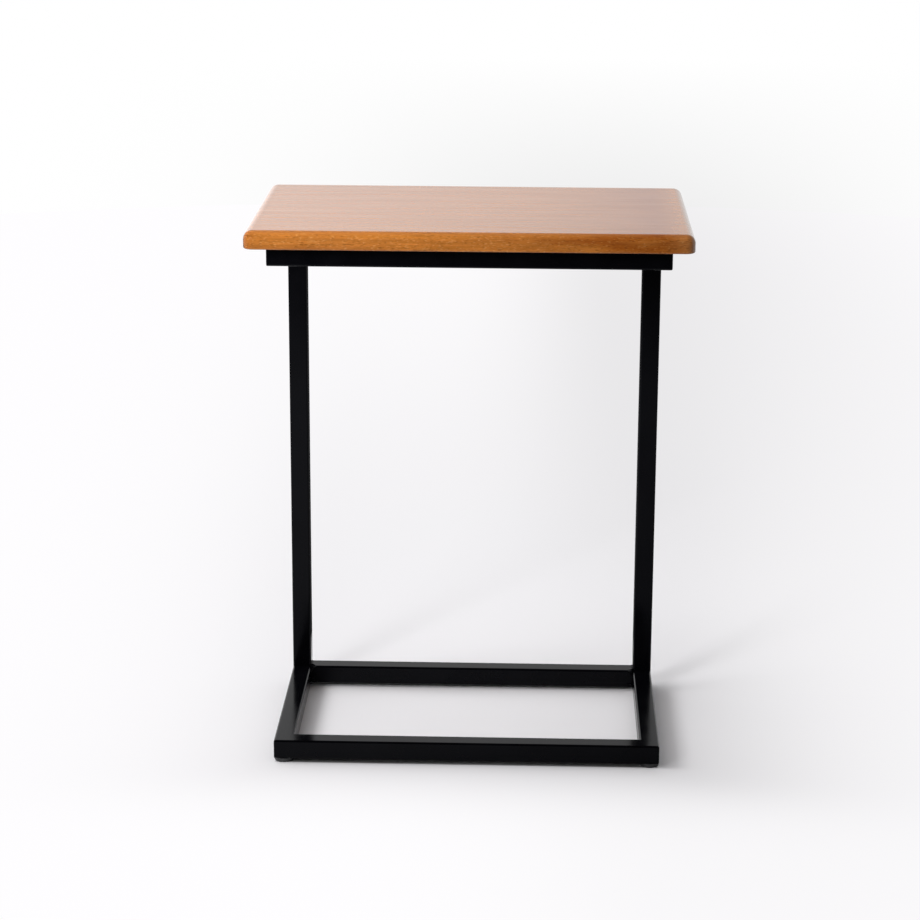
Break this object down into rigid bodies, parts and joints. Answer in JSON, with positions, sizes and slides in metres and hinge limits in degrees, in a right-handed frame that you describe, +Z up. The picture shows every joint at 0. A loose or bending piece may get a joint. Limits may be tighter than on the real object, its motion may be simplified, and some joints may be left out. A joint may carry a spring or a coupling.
{
  "type": "c-shaped side table",
  "caption": "C-shaped side table: a round-edged wooden top carried from behind on a black square-tube steel frame that stands on screw-in levelling feet.",
  "frame": {"origin": "on the floor, under the middle of the top and of the frame", "axes": "+Z up; +X to the right seen from the open side of the C; the open side faces -Y and the uprights stand at +Y"},
  "size_m": [0.44, 0.28, 0.56],
  "materials": {
    "oiled_wood": "satin oiled hardwood, straight grain along the width",
    "black_powder_coat": "satin black powder coat over ground steel tube",
    "zinc_steel": "bright zinc plate",
    "grey_nylon": "moulded dark grey nylon",
    "brass": "plain turned brass"
  },
  "bodies": {
    "table": {"tabletop": "oiled_wood", "base_front_bar": "black_powder_coat", "base_rear_bar": "black_powder_coat", "base_left_runner": "black_powder_coat", "base_right_runner": "black_powder_coat", "left_upright": "black_powder_coat", "right_upright": "black_powder_coat", "top_front_rail": "black_powder_coat", "top_rear_rail": "black_powder_coat", "top_left_arm": "black_powder_coat", "top_right_arm": "black_powder_coat", "base_left_welds": "black_powder_coat", "base_right_welds": "black_powder_coat", "top_left_welds": "black_powder_coat", "top_right_welds": "black_powder_coat", "front_left_foot_nut": "zinc_steel", "front_right_foot_nut": "zinc_steel", "rear_left_foot_nut": "zinc_steel", "rear_right_foot_nut": "zinc_steel", "top_fixing_screws": "zinc_steel", "top_fixing_washers": "zinc_steel", "top_fixing_inserts": "brass"},
    "front_left_pad": {"front_left_foot_pad": "grey_nylon"},
    "front_left_stud": {"front_left_foot_stud": "zinc_steel"},
    "front_right_pad": {"front_right_foot_pad": "grey_nylon"},
    "front_right_stud": {"front_right_foot_stud": "zinc_steel"},
    "rear_left_pad": {"rear_left_foot_pad": "grey_nylon"},
    "rear_left_stud": {"rear_left_foot_stud": "zinc_steel"},
    "rear_right_pad": {"rear_right_foot_pad": "grey_nylon"},
    "rear_right_stud": {"rear_right_foot_stud": "zinc_steel"}
  },
  "joints": [
    {"name": "front_left_foot_travel", "type": "slide", "parent": "table", "child": "front_left_pad", "axis": [0, 0, -1], "range_m": [0, 0.008]},
    {"name": "front_left_foot_screw", "type": "hinge", "parent": "front_left_pad", "child": "front_left_stud", "pos_m": [-0.189, -0.111, 0.004], "axis": [0, 0, -1], "range_deg": [0, 2880]},
    {"name": "front_right_foot_travel", "type": "slide", "parent": "table", "child": "front_right_pad", "axis": [0, 0, -1], "range_m": [0, 0.008]},
    {"name": "front_right_foot_screw", "type": "hinge", "parent": "front_right_pad", "child": "front_right_stud", "pos_m": [0.189, -0.111, 0.004], "axis": [0, 0, -1], "range_deg": [0, 2880]},
    {"name": "rear_left_foot_travel", "type": "slide", "parent": "table", "child": "rear_left_pad", "axis": [0, 0, -1], "range_m": [0, 0.008]},
    {"name": "rear_left_foot_screw", "type": "hinge", "parent": "rear_left_pad", "child": "rear_left_stud", "pos_m": [-0.189, 0.111, 0.004], "axis": [0, 0, -1], "range_deg": [0, 2880]},
    {"name": "rear_right_foot_travel", "type": "slide", "parent": "table", "child": "rear_right_pad", "axis": [0, 0, -1], "range_m": [0, 0.008]},
    {"name": "rear_right_foot_screw", "type": "hinge", "parent": "rear_right_pad", "child": "rear_right_stud", "pos_m": [0.189, 0.111, 0.004], "axis": [0, 0, -1], "range_deg": [0, 2880]}
  ],
  "couplings": [
    {"joint": "front_left_foot_screw", "follows": "front_left_foot_travel", "rad_per_m": 6283.2},
    {"joint": "front_right_foot_screw", "follows": "front_right_foot_travel", "rad_per_m": 6283.2},
    {"joint": "rear_left_foot_screw", "follows": "rear_left_foot_travel", "rad_per_m": 6283.2},
    {"joint": "rear_right_foot_screw", "follows": "rear_right_foot_travel", "rad_per_m": 6283.2}
  ]
}
